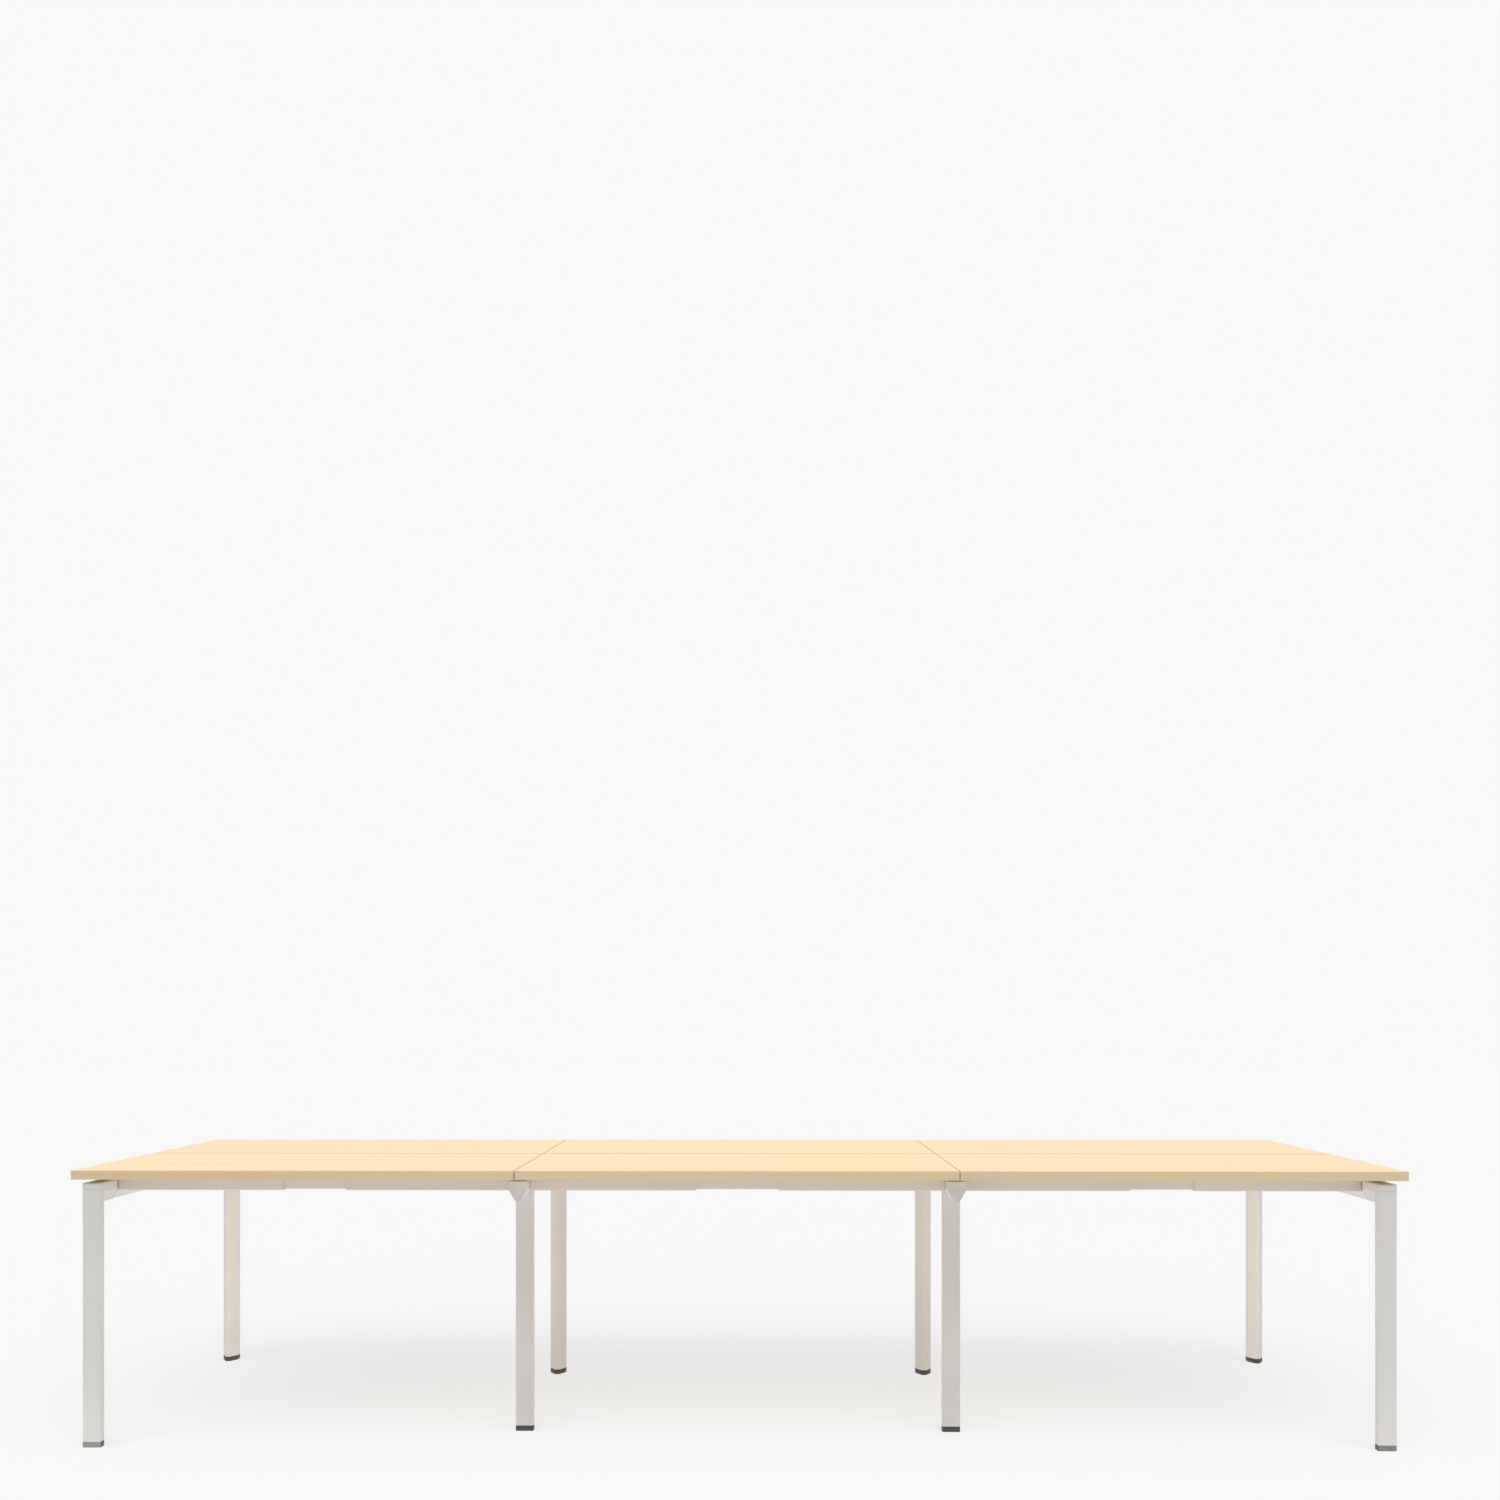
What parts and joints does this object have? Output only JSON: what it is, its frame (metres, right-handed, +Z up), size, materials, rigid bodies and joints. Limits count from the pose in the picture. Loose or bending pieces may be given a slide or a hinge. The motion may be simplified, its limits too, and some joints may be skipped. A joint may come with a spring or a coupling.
{
  "type": "bench table",
  "caption": "Long freestanding bench table: butted light wood-decor tops on V-section metal leg frames joined by telescopic rails, with levelling feet.",
  "frame": {"origin": "on the floor, under the middle of the table", "axes": "+X along the table, +Y from the front row of seats to the back row, +Z up"},
  "size_m": [3.6, 1.2, 0.75],
  "materials": {
    "melamine": "light maple decor laminate, satin, with a matching edge band",
    "powder_coat": "fine satin powder coat, white to light warm grey",
    "rail": "fine satin powder coat, light warm grey",
    "end_cap": "satin moulded plastic, light grey",
    "zinc_steel": "zinc-plated steel of the screws and levelling studs",
    "foot_plastic": "matt moulded plastic, dark grey"
  },
  "bodies": {
    "table": {"top_left_front": "melamine", "top_left_back": "melamine", "top_centre_front": "melamine", "top_centre_back": "melamine", "top_right_front": "melamine", "top_right_back": "melamine", "crossbeam_left_end": "powder_coat", "leg_left_end_front": "powder_coat", "casting_left_end_front": "powder_coat", "gasket_left_end_front": "foot_plastic", "leg_left_end_back": "powder_coat", "casting_left_end_back": "powder_coat", "gasket_left_end_back": "foot_plastic", "crossbeam_left_middle": "powder_coat", "leg_left_middle_front": "powder_coat", "cap_left_middle_front": "end_cap", "leg_left_middle_back": "powder_coat", "cap_left_middle_back": "end_cap", "crossbeam_right_middle": "powder_coat", "leg_right_middle_front": "powder_coat", "cap_right_middle_front": "end_cap", "leg_right_middle_back": "powder_coat", "cap_right_middle_back": "end_cap", "crossbeam_right_end": "powder_coat", "leg_right_end_front": "powder_coat", "casting_right_end_front": "powder_coat", "gasket_right_end_front": "foot_plastic", "leg_right_end_back": "powder_coat", "casting_right_end_back": "powder_coat", "gasket_right_end_back": "foot_plastic", "rail_left_front_sleeve_left": "rail", "rail_left_front_inner": "rail", "rail_left_front_sleeve_right": "rail", "rail_left_back_sleeve_left": "rail", "rail_left_back_inner": "rail", "rail_left_back_sleeve_right": "rail", "rail_left_centre": "rail", "rail_centre_front_sleeve_left": "rail", "rail_centre_front_inner": "rail", "rail_centre_front_sleeve_right": "rail", "rail_centre_back_sleeve_left": "rail", "rail_centre_back_inner": "rail", "rail_centre_back_sleeve_right": "rail", "rail_centre_centre": "rail", "rail_right_front_sleeve_left": "rail", "rail_right_front_inner": "rail", "rail_right_front_sleeve_right": "rail", "rail_right_back_sleeve_left": "rail", "rail_right_back_inner": "rail", "rail_right_back_sleeve_right": "rail", "rail_right_centre": "rail"},
    "foot_left_end_front": {"foot_left_end_front": "foot_plastic"},
    "foot_left_end_back": {"foot_left_end_back": "foot_plastic"},
    "foot_left_middle_front": {"foot_left_middle_front": "foot_plastic"},
    "foot_left_middle_back": {"foot_left_middle_back": "foot_plastic"},
    "foot_right_middle_front": {"foot_right_middle_front": "foot_plastic"},
    "foot_right_middle_back": {"foot_right_middle_back": "foot_plastic"},
    "foot_right_end_front": {"foot_right_end_front": "foot_plastic"},
    "foot_right_end_back": {"foot_right_end_back": "foot_plastic"}
  },
  "joints": [
    {"name": "foot_left_end_front_height", "type": "slide", "parent": "table", "child": "foot_left_end_front", "axis": [0, 0, -1], "range_m": [0, 0.012]},
    {"name": "foot_left_end_back_height", "type": "slide", "parent": "table", "child": "foot_left_end_back", "axis": [0, 0, -1], "range_m": [0, 0.012]},
    {"name": "foot_left_middle_front_height", "type": "slide", "parent": "table", "child": "foot_left_middle_front", "axis": [0, 0, -1], "range_m": [0, 0.012]},
    {"name": "foot_left_middle_back_height", "type": "slide", "parent": "table", "child": "foot_left_middle_back", "axis": [0, 0, -1], "range_m": [0, 0.012]},
    {"name": "foot_right_middle_front_height", "type": "slide", "parent": "table", "child": "foot_right_middle_front", "axis": [0, 0, -1], "range_m": [0, 0.012]},
    {"name": "foot_right_middle_back_height", "type": "slide", "parent": "table", "child": "foot_right_middle_back", "axis": [0, 0, -1], "range_m": [0, 0.012]},
    {"name": "foot_right_end_front_height", "type": "slide", "parent": "table", "child": "foot_right_end_front", "axis": [0, 0, -1], "range_m": [0, 0.012]},
    {"name": "foot_right_end_back_height", "type": "slide", "parent": "table", "child": "foot_right_end_back", "axis": [0, 0, -1], "range_m": [0, 0.012]}
  ]
}
